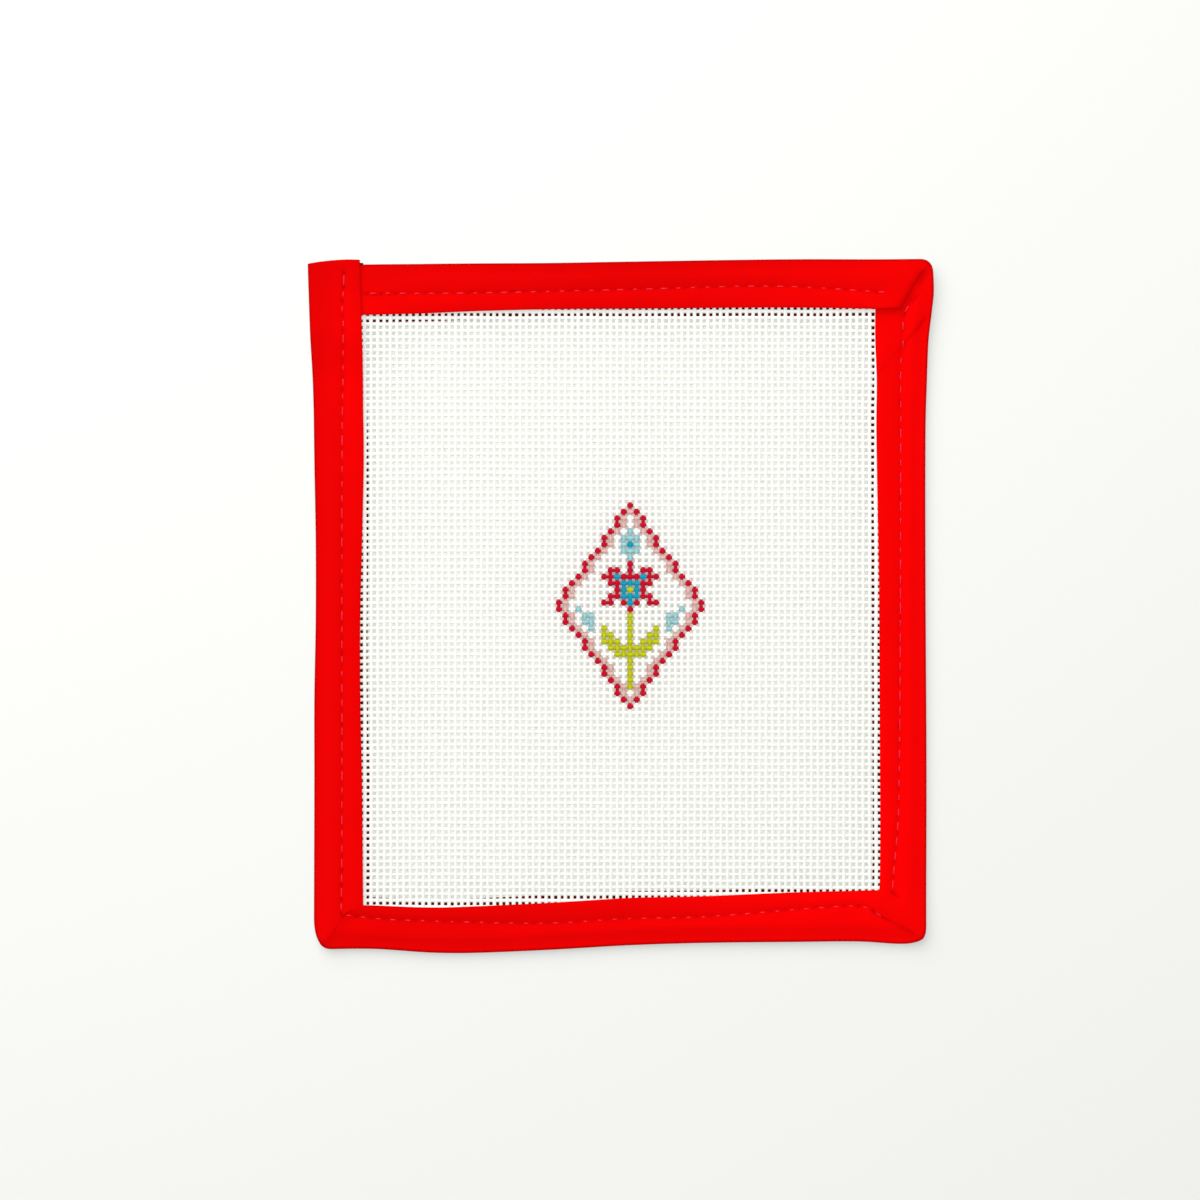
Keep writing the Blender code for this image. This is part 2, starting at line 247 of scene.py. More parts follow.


# %% [markdown]
# ## Corners, seam and lap
#
# The tape is one strip in two lengths. Where it turns a corner its front is folded into a
# mitre, and both legs share that slanting line. The line isn't straight: the fold was
# pulled a little along the next leg, each corner by its own amount. The two lengths meet at
# a diagonal seam in the right leg, and at the top-left corner the end of the strip lies
# over its start. We need the run of each of those lines at the outer edge and at the two
# free edges.

# %% Where each span of tape starts and ends
# A corner is named by the leg after it. "before" and "after" say how far its rounding cuts
# in from that leg's outer edge, and how far along the leg it reaches. "bow" is how far the
# mitre's tip is drawn along the leg after it, "under" how much that leg is flattened there,
# and the shades are how much painted shade darkens the crease on its two sides; "beyond"
# says whether that shade and flattening carry on past the tip.
CORNERS = {
    "right": {"before": (0.7, 2.2), "after": (0.7, 2.2), "bow": 4.4, "under": 0.24,
              "shade_after": 0.46, "shade_before": 0.42, "beyond": 1.0},
    "bottom": {"before": (0.7, 2.9), "after": (0.8, 4.5), "bow": 5.2, "under": 0.08,
               "shade_after": 0.24, "shade_before": 0.12, "beyond": 0.0},
    "left": {"before": (0.6, 2.4), "after": (1.83, 7.0), "bow": 2.5, "under": 0.0,
             "shade_after": 0.02, "shade_before": 0.11, "beyond": 0.0},
}
MITRE = None
TUCKED_START = (-65.2, -65.2, -65.2)  # (outer, front, back) runs of a straight cut
SEAM = (-64.4, -50.2, -48.1)
LAPPED_END = (74.3, 75.2, 74.95)
TAPES = {
    "binding_top_tape": (("top", TUCKED_START, MITRE), ("right", MITRE, SEAM)),
    "binding_side_tape": (
        ("right", SEAM, MITRE), ("bottom", MITRE, MITRE), ("left", MITRE, LAPPED_END),
    ),
}


def corner_runs(leg, column):
    """Where a leg meets the next: the corner's run on this leg and on the next."""
    following = NEXT_LEG[leg]
    run_on_next = EDGES[following][0][0]
    for _ in range(4):
        run = float(edge_out(following, column, run_on_next))
        run_on_next = -float(edge_out(leg, column, run))
    return run, run_on_next


def span_end(leg, cut, at_end):
    """The runs of a span's start or end at the outer, front and back edges."""
    if cut is not MITRE:
        return np.array(cut)
    corner_leg = leg if at_end else LEG_NAMES[LEG_NAMES.index(leg) - 1]
    side = 0 if at_end else 1
    corner = CORNERS[NEXT_LEG[corner_leg]]
    outer, front, back = (corner_runs(corner_leg, edge)[side] for edge in (OUTER, INNER, BACK))
    outer += corner["before"][0] if side else -corner["after"][0]
    return np.array((outer, front, back))


print("top-right mitre, runs on the top leg:", span_end("top", MITRE, True).round(1))


# %% [markdown]
# ## How high everything lies
#
# Cloth on a table is a stack of layers: the back flap, the canvas, the front flap. Two
# things lift the stack. Under the lap there are two more flaps, and the top-right corner
# curls up a little off the table. One thing flattens it: near the outline, the iron has
# pressed the fold. All are smooth functions of the place on the panel, so the same helpers
# move every piece alike and nothing pokes through its neighbour.

# %% Heights of the layers
FLAP = 1.0  # one flap, two layers of cotton with a little air between
BACK_INNER_Z, FRONT_INNER_Z, CANVAS_MIDDLE_Z = 1.0, 2.6, 1.8
LAP_LIFT, LAP_RIGHT, LAP_BOTTOM, LAP_FADE = 0.8, -54.0, 61.0, 12.0
CURL_HEIGHT, CURL_REACH, CURL_AT = 1.2, 34.0, (67.7, 75.5)
PRESSED_SHARE, PRESSED_REACH = 0.66, 3.8
LAYERS_UNDER = {"binding_top_tape": (1, 1), "binding_side_tape": (0, 2), "canvas": (1, 1)}


def smooth(low, high, value):
    """0 at low and 1 at high, with a level start and end."""
    share = np.clip((value - low) / (high - low), 0, 1)
    return share * share * (3 - 2 * share)


def lap_share(x, y):
    """1 where the tape's end crosses its start, fading to 0 around it."""
    left = 1 - smooth(LAP_RIGHT, LAP_RIGHT + LAP_FADE, x)
    return left * smooth(LAP_BOTTOM - LAP_FADE, LAP_BOTTOM, y)


def curl(x, y):
    """How far the top-right corner lifts the panel."""
    distance = np.hypot(CURL_AT[0] - x, CURL_AT[1] - y)
    return CURL_HEIGHT * (1 - smooth(0, CURL_REACH, distance))


def lift(node, x, y, side):
    """How far a node's back (0) or front (1) face is raised at a place."""
    return LAYERS_UNDER[node][side] * lap_share(x, y) * LAP_LIFT + curl(x, y)


def pressed(z, x, y):
    """Heights drawn down near the outline, where the iron has flattened the fold."""
    inside = np.full(np.shape(x), np.inf)
    for leg in LEG_NAMES:
        run = x * HEADING[leg][0] + y * HEADING[leg][1]
        out = x * OUTWARD[leg][0] + y * OUTWARD[leg][1]
        inside = np.minimum(inside, edge_out(leg, OUTER, run) - out)
    share = PRESSED_SHARE * (1 - smooth(0.0, PRESSED_REACH, inside)) * (1 - lap_share(x, y))
    table_side = curl(x, y)
    return table_side + (z - table_side) * (1 - share)


print("corner lifts by", round(float(curl(67.0, 75.0)), 2), "mm")


# %% [markdown]
# ## The line of machine stitches
#
# The stitch line isn't parallel to the edge: it wanders in and out and cuts the corners.
# It matters to the cloth as well as to the thread, because each needle hole pulls a small
# pit in the tape and the whole row lies in a soft trough. So the line is laid out first,
# again as a short table for each leg, and both the cloth and the thread read it.

# %% Stitch line of each leg
STITCH_LINES = {  # (run, distance out)
    "top": (
        (-55.5, 67.95), (-30.8, 68.15), (2.0, 68.9), (33.5, 69.6), (55.5, 68.35), (61.4, 67.9),
    ),
    "right": (
        (-66.2, 63.0), (-64.1, 61.75), (-62.4, 61.25), (-55.6, 61.2), (-53.2, 60.8),
        (-38.4, 60.8), (43.3, 60.35), (59.0, 59.15), (66.4, 58.6), (68.2, 57.5),
    ),
    "bottom": (
        (-57.3, 68.0), (-53.3, 65.6), (-48.0, 65.3), (-17.6, 67.6), (-4.2, 67.9), (2.7, 68.2),
        (11.2, 68.8), (21.0, 69.0), (48.8, 68.25), (54.5, 67.85), (60.9, 67.1),
    ),
    "left": (
        (-67.0, 60.95), (-53.1, 60.8), (36.2, 60.75), (62.3, 60.35), (64.1, 60.6),
        (69.2, 60.3), (72.4, 60.2),
    ),
}
STITCH_PITCH = 3.2
STITCH_SHOWING = {"top": 1.0, "right": 1.7, "bottom": 0.8, "left": 1.5}  # thread on view


def stitch_layout(leg):
    """A leg's line as points, the length up to each, and the pitch that fits it evenly."""
    table = STITCH_LINES[leg]
    runs = np.linspace(table[0][0], table[-1][0], 600)
    outs = curve_through(table, 1, runs)
    lengths = np.concatenate(([0.0], np.cumsum(np.hypot(np.diff(runs), np.diff(outs)))))
    stitches = round(lengths[-1] / STITCH_PITCH)
    return {"runs": runs, "outs": outs, "lengths": lengths, "stitches": stitches,
            "pitch": lengths[-1] / stitches}


STITCHING = {leg: stitch_layout(leg) for leg in LEG_NAMES}
for leg, line in STITCHING.items():
    print(f"{leg}: {line['stitches']} stitches, {line['pitch']:.2f} mm apart")


# %% [markdown]
# ## The relief of the front flap
#
# A flat ribbon looks like plastic. What makes it cloth is small relief: the trough under
# the stitches, a pit at each needle hole, puckers between them that fan out across the
# flap, and a slow unevenness from pressing with an iron. A displacement texture could do
# this, but the pits must meet the thread, so the relief is a function of the run and of
# the inset from the folded edge. The same function gives a mask of painted shade, darker
# in the trough and the pits, which the tape's material uses later.

# %% Relief of the flap
SEWN_FLAP = FLAP - 0.03
# the shades are painted shade in the stitch trough and in the needle holes
TROUGH_DEPTH, TROUGH_WIDTH, TROUGH_SHADE = 0.26, 0.85, 0.06
PIT_DEPTH, PIT_WIDTH, PIT_SHADE = 0.16, 0.34, 0.32
PIT_SHADE_AT_CORNERS = 0.40  # more than elsewhere, since the machine pulled more there
ROLL_DEPTH, ROLL_WIDTH = 0.42, 1.1  # the free edge rolls down
PRESSING = 0.035
PUCKERING, PUCKER_FAN = 0.8, 0.35
PUCKER_WAVES = (  # (wavelength, height, how far across the flap it reaches)
    (3.2, 0.020, 1.3), (7.3, 0.045, 3.0), (11.9, 0.060, 4.5), (19.0, 0.050, 7.0),
)


def bell(distance, width):
    """1 at distance 0, falling off smoothly."""
    return np.exp(-((distance / width) ** 2))


def stitch_out(leg, run):
    """How far out a leg's stitch line lies at a run."""
    line = STITCHING[leg]
    return np.interp(run, line["runs"], line["outs"])


def pits(leg, run, off):
    """1 in a needle hole, 0 away from it. off is the distance across from the line."""
    line = STITCHING[leg]
    along = np.interp(run, line["runs"], line["lengths"]) / line["pitch"]
    beyond = np.maximum(line["runs"][0] - run, 0) + np.maximum(run - line["runs"][-1], 0)
    from_hole = (along - np.round(along)) * line["pitch"]
    return bell(np.hypot(off, np.hypot(from_hole, beyond)), PIT_WIDTH)


def flap_relief(leg, run, out, inset, width):
    """The front flap's thickness and its painted shade in the trough and needle holes, at places on
    a leg.
    """
    off = stitch_out(leg, run) - out
    first, last = STITCHING[leg]["runs"][[0, -1]]
    sewn = smooth(-2.0, 0.5, run - first) * smooth(-2.0, 0.5, last - run)
    hole = pits(leg, run, off)
    near_corner = 1 - smooth(4.0, 10.0, np.minimum(run - first, last - run))
    dark = PIT_SHADE + PIT_SHADE_AT_CORNERS * near_corner
    trough = bell(off, TROUGH_WIDTH) * sewn
    shift = 2.1 * LEG_NAMES.index(leg)  # no two legs pucker alike
    waves = sum(
        height * np.sin(math.tau * run / length + shift * length + PUCKER_FAN * off)
        * bell(off, reach)
        for length, height, reach in PUCKER_WAVES
    )
    slow = PRESSING * np.sin(run * 0.083 + shift) * np.sin(inset * 0.31 + run * 0.02)
    roll = ROLL_DEPTH * bell(width - inset, ROLL_WIDTH)
    thick = SEWN_FLAP - TROUGH_DEPTH * trough - PIT_DEPTH * hole + waves * PUCKERING + slow - roll
    return thick, np.clip(dark * hole + TROUGH_SHADE * trough, 0, 1)


test = flap_relief("left", np.linspace(-20, 20, 400), 60.75, 6.0, 10.5)[0]
print(f"the flap along the stitch line is {test.min():.2f} to {test.max():.2f} mm thick")


# %% [markdown]
# ## Painted sheen on each leg
#
# Pressed cotton doesn't reflect evenly. Its threads lie at another angle to the light on
# each leg, and the iron has shone the fold more than the free edge. That sheen is painted
# into the red as a brightness factor. A noise texture could vary the red, but it wouldn't
# be light and dark in the right places, so the painted sheen is one more short table,
# along each leg and across it.

# %% Painted sheen along and across a leg
SHEEN_RUNS = (-60.0, 0.0, 60.0, 75.0)
LEG_PAINTED_SHEEN = {  # at those runs of a leg: near the fold, then near the free edge
    "top": ((0.97, 0.87, 1.04, 1.04), (1.10, 1.01, 1.16, 1.16)),
    "right": ((1.26, 1.26, 1.26, 1.26), (1.13, 1.12, 1.22, 1.22)),
    "bottom": ((1.26, 1.19, 1.12, 1.12), (1.25, 1.01, 0.91, 0.91)),
    "left": ((1.05, 1.01, 0.98, 0.88), (1.11, 1.07, 1.13, 0.96)),
}


def painted_sheen(leg, run, inset):
    """The painted sheen: how bright the red is painted along and across a leg, for how the cotton
    reflects.
    """
    near_fold, near_edge = (np.interp(run, SHEEN_RUNS, painted_lights) for painted_lights in LEG_PAINTED_SHEEN[leg])
    return near_fold + (near_edge - near_fold) * smooth(2.0, 9.0, inset)


print("the tone runs from", np.min(list(LEG_PAINTED_SHEEN.values())), "to", np.max(list(LEG_PAINTED_SHEEN.values())))


# %% [markdown]
# ## Folding the tape
#
# Double-fold bias tape has a fixed section, like a letter in an envelope: a raw edge
# turned in under the front flap, the front flap, the fold round the canvas, the back flap,
# and the other raw edge turned in. A strip of cloth keeps its width, so one ribbon follows
# all of it. Lofting that section along the leg gives a true ribbon of cotton, with real
# folded edges where the flaps end. Cloth simulation could fold a strip too, but a pressed
# and sewn fold is stiff and sharp, and the loft keeps it so.
#
# Each row of vertices is one section. A section is set by its inset from the folded edge,
# and slants like the mitre at the ends of a leg.

# %% What the ends of a span do to it
BOW_REACH, BOW_START, BOW_PEAK = 11.0, 1.2, 0.5
UNDER_REACH = 9.0  # how far along a leg it is flattened under a mitre


def end_effects(leg, start, end, from_start, to_end):
    """How a span's ends shape and shade its stations, by their distances from the ends."""
    cut_back, crease, seam = np.zeros((3, len(to_end)))
    bow, full, beyond = np.zeros((len(to_end), 2)), np.ones(len(to_end)), np.ones(len(to_end))
    for cut, distance, side, after in (
        (start, from_start, "after", leg), (end, to_end, "before", NEXT_LEG[leg]),
    ):
        if cut is not MITRE:
            continue
        corner = CORNERS[after]
        depth, reach = corner[side]
        cut_back = np.maximum(cut_back, depth * np.maximum(0.0, 1 - distance / reach) ** 3)
        drawn = corner["bow"] * (1 - smooth(0, BOW_REACH, distance))
        bow += drawn[:, None] * np.array(HEADING[after])
        beyond[distance < BOW_REACH] = corner["beyond"]
        # painted shade along the mitre's crease, as dark as the corner's shade on this side
        shade = corner["shade_" + side]
        if side == "after":
            full = 1 - corner["under"] * (1 - smooth(0, UNDER_REACH, distance))
            crease += shade * (bell(distance, 1.1) + 0.1 * bell(distance, 3.8))
        else:
            full = full - 0.3 * shade * bell(distance, 1.0)
            crease += shade * bell(distance, 0.6 if corner["beyond"] else 2.2)
    for cut, distance in ((start, from_start), (end, to_end)):
        if cut is SEAM:
            full = full - 0.03 * bell(distance, 0.9)
            # painted shade along the seam line
            seam += 0.34 * bell(distance, 0.7)
    return cut_back, bow, full, crease, seam, beyond


print("a mitre's bow starts", BOW_START, "mm in from the fold")

# %% Section of the folded ribbon
COTTON = 0.24  # one layer of the tape
STATION_EVERY, CROWDING = 0.75, 0.25  # and how much closer they are near a span's ends
END_BULGE, BULGE_REACH = 0.30, 6.0  # the lapped end is cut a little round
FOLD_REACH = 1.25  # how far in from the outer edge the fold's curve starts
FOLD_POWER = 2 / 2.5  # less than 1 makes the fold squarer than a half circle
FOLD_ANGLES = range(72, -73, -18)
# painted shade on the lower half of the fold's rim, which is turned away from the light
RIM_PAINTED_SHADE = 0.75  # the lower half of the rim is turned away from the light
# painted shade: the inside of the back flap, seen only through the canvas, is painted this much
# darker
INSIDE_PAINTED_SHADE = 0.19  # the inside of the back flap, seen only through the canvas
TURN, TURN_ANGLES = 0.27, (140, 90, 40)  # the turned free edges
RAW_EDGE = 1.7  # how far in from the outer edge the raw edges end
FRONT_STEPS = (-1.9, -1.35, -0.9, -0.55, -0.25, 0.0, 0.25, 0.55, 0.9, 1.35, 1.9)
BACK_TROUGH, BACK_ROLL = 0.22, 0.15


def bow_tip(width):
    """The inset where a mitre's bow is widest."""
    return BOW_START + BOW_PEAK * (width - BOW_START)


def hem_insets(width):
    """Insets of the raw edge that is turned in under a flap, raw edge first."""
    bend = bow_tip(width)
    return [
        RAW_EDGE + 0 * width, (RAW_EDGE + bend) / 2, bend - 0.7, bend, bend + 0.7,
        width - TURN - 0.5, width - TURN,
    ]


def fold_insets(width, shares):
    """Insets at shares of the way from the fold's curve to the free edge."""
    return [FOLD_REACH + (width - FOLD_REACH) * share for share in shares]


def front_insets(width, stitch):
    """Insets across the front flap, from the free edge out to the fold."""
    bend = bow_tip(width)
    across = [width - 0.45, width - 0.85, width - 1.5, bend - 0.5, bend, bend + 0.5]
    across += [stitch + step for step in FRONT_STEPS]
    across += fold_insets(width, (0.07, 0.17, 0.3, 0.45, 0.68))
    return np.sort(np.stack(across), axis=0)[::-1]


def span_columns(node, leg, start, end):
    """Every vertex of a span of tape: arrays of plan x, y, height, run, painted shade and painted
    light.
    """
    first, last = span_end(leg, start, False), span_end(leg, end, True)
    stations = max(12, int((last[0] - first[0]) / STATION_EVERY))
    even = np.linspace(0, 1, stations)
    share = even + CROWDING * (0.5 - 0.5 * np.cos(math.pi * even) - even)
    runs = first[None, :] + (last - first)[None, :] * share[:, None]
    from_start, to_end = runs[:, 0] - first[0], last[0] - runs[:, 0]
    cut_back, bow, full, crease, seam, beyond = end_effects(leg, start, end, from_start, to_end)
    bulge = END_BULGE * (1 - smooth(0, BULGE_REACH, to_end)) if end is LAPPED_END else 0 * to_end

    heading, outward = np.array(HEADING[leg], float), np.array(OUTWARD[leg], float)
    outer = plan(leg, runs[:, 0], edge_out(leg, OUTER, runs[:, 0]) - cut_back)
    front = plan(leg, runs[:, 1], edge_out(leg, INNER, runs[:, 1]))
    back = plan(leg, runs[:, 2], edge_out(leg, BACK, runs[:, 2]))
    widths = ((outer - back) @ outward, (outer - front) @ outward)
    columns = []

    def place(inset, side):
        """Plan points at an inset, on the slanting line of each station."""
        share = inset / widths[side]
        at = outer + (back - outer, front - outer)[side] * share[:, None]
        if side:
            past = np.clip((inset - BOW_START) / (widths[side] - BOW_START), 0, 1)
            lean = np.minimum(past / BOW_PEAK, (1 - past) / (1 - BOW_PEAK))
            at = at + bow * lean[:, None]
        return at + (bulge * 4 * share * (1 - share))[:, None] * heading

    def add(inset, side, layer="flap"):
        """One column of vertices: the same point of the section at every station.

        layer is "flap", "hem", or on a turned edge the angle from the flap, 0 to 180.
        """
        inset = np.broadcast_to(np.asarray(inset, float), (stations,))
        at = place(inset, side)
        (x, y), run, width = at.T, at @ heading, widths[side]
        raised = lift(node, x, y, side)
        squashed = 1 - 0.5 * lap_share(x, y) if node == "binding_top_tape" else 1.0
        painted_shade, painted_light = np.zeros(stations), painted_sheen(leg, run, inset)
        if side:
            thick, painted_shade = flap_relief(leg, run, at @ outward, inset, width)
            past_tip = 1 - (1 - beyond) * smooth(bow_tip(width) - 0.3, bow_tip(width) + 1.2, inset)
            shape = 1 - (1 - full) * smooth(0.6, 2.4, inset) * past_tip
            thick = np.maximum(thick * shape * squashed, 2 * COTTON)
            base, grow = FRONT_INNER_Z + raised, 1
            # painted shade in the mitre's crease and along the seam
            painted_shade = painted_shade + crease * smooth(0.5, 2.0, inset) * past_tip
            painted_shade = np.clip(painted_shade + seam * (1 - 0.75 * smooth(3.0, 9.0, inset)), 0, 1)
        else:
            trough = BACK_TROUGH * bell(stitch_out(leg, run) - at @ outward, TROUGH_WIDTH)
            thick = FLAP * squashed - trough - BACK_ROLL * bell(width - inset, 0.7)
            thick = np.maximum(thick, 2 * COTTON)
            base, grow = BACK_INNER_Z + raised, -1
            # painted shade on the inside of the back flap and its turned edge
            if layer in ("hem", 90, 140):
                painted_light = np.full(stations, INSIDE_PAINTED_SHADE)
        top, under = base + grow * (thick - COTTON / 2), base + grow * COTTON / 2
        z = {"hem": under, "flap": top}.get(layer)
        if z is None:
            z = (top + under) / 2 + (top - under) / 2 * math.cos(math.radians(layer))
        columns.append((x, y, pressed(z, x, y), run, painted_shade, painted_light))

    def add_turn(side, angles):
        """The turned free edge of a flap."""
        for angle in angles:
            add(widths[side] - TURN * (1 - math.sin(math.radians(angle))), side, angle)

    stitch = np.full(stations, 7.0)  # the stitch line's inset depends on its run, and the
    for _ in range(4):  # run on the inset, so it is found by trying again
        run = place(stitch, 1) @ heading
        stitch = np.clip(outer @ outward - stitch_out(leg, run), 3.6, widths[1] - 2.4)

    for inset in hem_insets(widths[1]):
        add(inset, 1, "hem")
    add_turn(1, TURN_ANGLES)
    for inset in front_insets(widths[1], stitch):
        add(inset, 1)
    add(FOLD_REACH, 0)
    low, rim = columns.pop()[2], columns[-1][2]
    for angle in FOLD_ANGLES:
        sine, cosine = math.sin(math.radians(angle)), math.cos(math.radians(angle))
        at = place(np.full(stations, FOLD_REACH * (1 - cosine**FOLD_POWER)), int(angle > 0))
        z = (rim + low) / 2 + (rim - low) / 2 * math.copysign(abs(sine) ** FOLD_POWER, sine)
        # painted shade on the lower half of the fold, turned away from the light
        under = np.full(stations, RIM_PAINTED_SHADE * float(smooth(80, 10, angle)))
        run = at @ heading
        columns.append((*at.T, z, run, under, painted_sheen(leg, run, np.zeros(stations))))
    back_steps = [stitch + step for step in (-0.9, 0.0, 0.9)]
    for inset in (*fold_insets(widths[0], (0.0, 0.2, 0.38)), *back_steps,
                  *fold_insets(widths[0], (0.8, 0.95))):
        add(inset, 0)
    add_turn(0, reversed(TURN_ANGLES))
    for inset in reversed(hem_insets(widths[0])):
        add(inset, 0, "hem")
    return columns


trial = np.array([part[:3] for part in span_columns("binding_side_tape", "bottom", MITRE, MITRE)])
steps = np.diff(trial[:, :, trial.shape[2] // 2], axis=0)
length = np.linalg.norm(steps, axis=1).sum()
print(f"{len(trial)} points across the ribbon, which is {length:.1f} mm wide laid flat")


# %% [markdown]
# ## The cloth of the tape
#
# The spans of one length of tape are joined into a grid of vertices. Besides its place,
# each vertex keeps three things for the material: "strip" as a UV map, which is the run
# along the leg and the distance across the ribbon, so that the weave turns at each mitre
# as real tape does; a mask of painted shade, in the creases, pits, seam and the rim's
# lower half; and a factor of painted light, a painted sheen along and across each leg,
# with painted shade on the inside of the back flap. A Solidify modifier gives the one
# layer of cotton its thickness.
#
# Smooth shading would smear round the mitres, the seam and the cut ends, where the
# outermost faces are very narrow. Marking those rows of edges sharp stops that.
#
# Red cloth on white paper tints and darkens the paper beside it, more than the photograph
# shows. So the tape is left out of the soft light that other surfaces gather, and the paper
# has only its shadow from the key light.

# %% Build a mesh from a grid of points
STRIP_ZERO = 20  # the column that the distance across the ribbon is counted from


def read_all(items, name, kind, width=1):
    """One property of every vertex, edge, corner or face, as an array."""
    values = np.empty(len(items) * width, kind)
    items.foreach_get(name, values)
    return values.reshape(-1, width) if width > 1 else values


def set_uv(mesh, name, values):
    """Give a mesh a UV map, from one pair of values for each corner of its faces."""
    uv = mesh.uv_layers.new(name=name)
    uv.data.foreach_set("uv", values.astype(np.float32).reshape(-1))


def grid_piece(name, points, strip, masks, span_ends):
    """A mesh object from points (rows, columns, 3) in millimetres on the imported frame.

    The rows in span_ends are mitres, seams and cut ends: the shading may break there.
    """
    rows, across = points.shape[:2]
    corner = np.arange(rows * across).reshape(rows, across)
    faces = np.stack((corner[:-1, :-1], corner[:-1, 1:], corner[1:, 1:], corner[1:, :-1]), -1)
    faces = faces.reshape(-1, 4)
    mesh = bpy.data.meshes.new(name)
    mesh.from_pydata((points.reshape(-1, 3) * MM).tolist(), [], faces.tolist())
    set_uv(mesh, "strip", strip.reshape(-1, 2)[faces.reshape(-1)])
    for mask, values in masks.items():
        attribute = mesh.attributes.new(mask, "FLOAT", "POINT")
        attribute.data.foreach_set("value", values.reshape(-1).astype(np.float32))
    mesh.shade_smooth()
    row = read_all(mesh.edges, "vertices", np.int32, 2) // across
    sharp = mesh.attributes.new("sharp_edge", "BOOLEAN", "EDGE")
    sharp.data.foreach_set("value", (row[:, 0] == row[:, 1]) & np.isin(row[:, 0], span_ends))
    return add_object(name, mesh)


def tape_cloth(name, node):
    """One length of tape as a ribbon of cotton."""
    rows, strips, painted_shades, painted_lights, span_ends = [], [], [], [], []
    for span in TAPES[node]:
        columns = span_columns(node, *span)
        x, y, z, run, painted_shade, painted_light = (np.stack(part, 1) for part in zip(*columns))
        points = np.stack((x + CENTRE_SHIFT[0], y + CENTRE_SHIFT[1], z), -1)
        steps = np.linalg.norm(np.diff(points, axis=1), axis=2)
        across = np.concatenate((np.zeros((len(x), 1)), np.cumsum(steps, axis=1)), axis=1)
        built = sum(len(part) for part in rows)
        span_ends += [built, built + len(x) - 1]
        rows.append(points)
        strips.append(np.stack((run, across - across[:, STRIP_ZERO, None]), -1))
        painted_shades.append(painted_shade)
        painted_lights.append(painted_light)
    masks = {"painted_shade": np.concatenate(painted_shades), "painted_light": np.concatenate(painted_lights)}
    piece = grid_piece(name, np.concatenate(rows), np.concatenate(strips), masks, span_ends)
    layer = piece.modifiers.new("one layer of cotton", "SOLIDIFY")
    layer.thickness = COTTON * MM
    layer.offset = 0.0
    piece.visible_diffuse = False
    print(name, len(piece.data.polygons), "faces before it has thickness")
    return piece


top_tape = tape_cloth("top_tape_cloth", "binding_top_tape")
side_tape = tape_cloth("side_tape_cloth", "binding_side_tape")


# %% [markdown]
# ## Geometry Nodes for what repeats
#
# The canvas is about 190 threads that cross about 9500 times, and the binding has some
# 160 stitches. Both follow a rule, so both are Geometry Nodes trees, built here in code.
# A small class keeps that readable: it starts a tree with named sockets, and each of its
# methods adds a node and wires it. A function then runs a tree on a mesh and keeps the
# result as a plain mesh, because the finished part should hold only meshes.

# %% Helpers for node trees
class Wiring:
    """A node tree, and short ways to add nodes to it."""

    def __init__(self, tree, inputs=(), outputs=()):
        """A new group's sockets are given as (type, name, and more names of that type)."""
        self.tree = tree
        for in_out, sockets in (("INPUT", inputs), ("OUTPUT", outputs)):
            for kind, *labels in sockets:
                for label in labels:
                    tree.interface.new_socket(
                        label, in_out=in_out, socket_type="NodeSocket" + kind
                    )

    def node(self, kind, links=(), **settings):
        """A node. settings are its properties, and links fill its inputs by name or number."""
        node = self.tree.nodes.new(kind)
        for key, value in settings.items():
            setattr(node, key, value)
        for key, value in dict(links).items():
            if isinstance(value, bpy.types.NodeSocket):
                self.tree.links.new(value, node.inputs[key])
            else:
                node.inputs[key].default_value = value
        return node

    def out(self, kind, output, links=(), **settings):
        """One output of a new node."""
        return self.node(kind, links, **settings).outputs[output]

    def calculate(self, operation, *values):
        """A Math node's result."""
        return self.out("ShaderNodeMath", 0, enumerate(values), operation=operation)

    def vector(self, **parts):
        """A vector from its X, Y and Z, which are 0 where they aren't given."""
        return self.out("ShaderNodeCombineXYZ", "Vector", parts)

    def scaled(self, vector, factor):
        """A vector or a colour times a number."""
        links = {0: vector, "Scale": factor}
        return self.out("ShaderNodeVectorMath", "Vector", links, operation="SCALE")

    def noise(self, where, scale, detail):
        """Noise between 0 and 1."""
        links = {"Vector": where, "Scale": scale, "Detail": detail}
        return self.out("ShaderNodeTexNoise", "Fac", links)

    def finish(self, geometry, material):
        """Realize the instances, set the material, and send the result out."""
        real = self.out("GeometryNodeRealizeInstances", "Geometry", {"Geometry": geometry})
        links = {"Geometry": real, "Material": material}
        painted = self.out("GeometryNodeSetMaterial", "Geometry", links)
        self.node("NodeGroupOutput", {"Geometry": painted})
        print(f"{self.tree.name}: {len(self.tree.nodes)} nodes")


def grow(name, tree, base_mesh, values):
    """Run a tree on a mesh and return the result as a plain mesh object."""
    holder = add_object(name + " holder", base_mesh)
    modifier = holder.modifiers.new(tree.name, "NODES")
    modifier.node_group = tree
    for item in tree.interface.items_tree:
        if item.in_out == "INPUT" and item.name in values:
            modifier[item.identifier] = values[item.name]
    evaluated = holder.evaluated_get(bpy.context.evaluated_depsgraph_get())
    mesh = bpy.data.meshes.new_from_object(evaluated)
    bpy.data.objects.remove(holder)
    mesh.name = name
    return add_object(name, mesh)


# %% [markdown]
# ## Finishes
#
# Three things show: cotton canvas thread, red cotton tape and pink-red sewing thread. All
# are matt cotton, so one shader group gives them the fuzz and uneven dye that cotton has,
# each at its own scale.

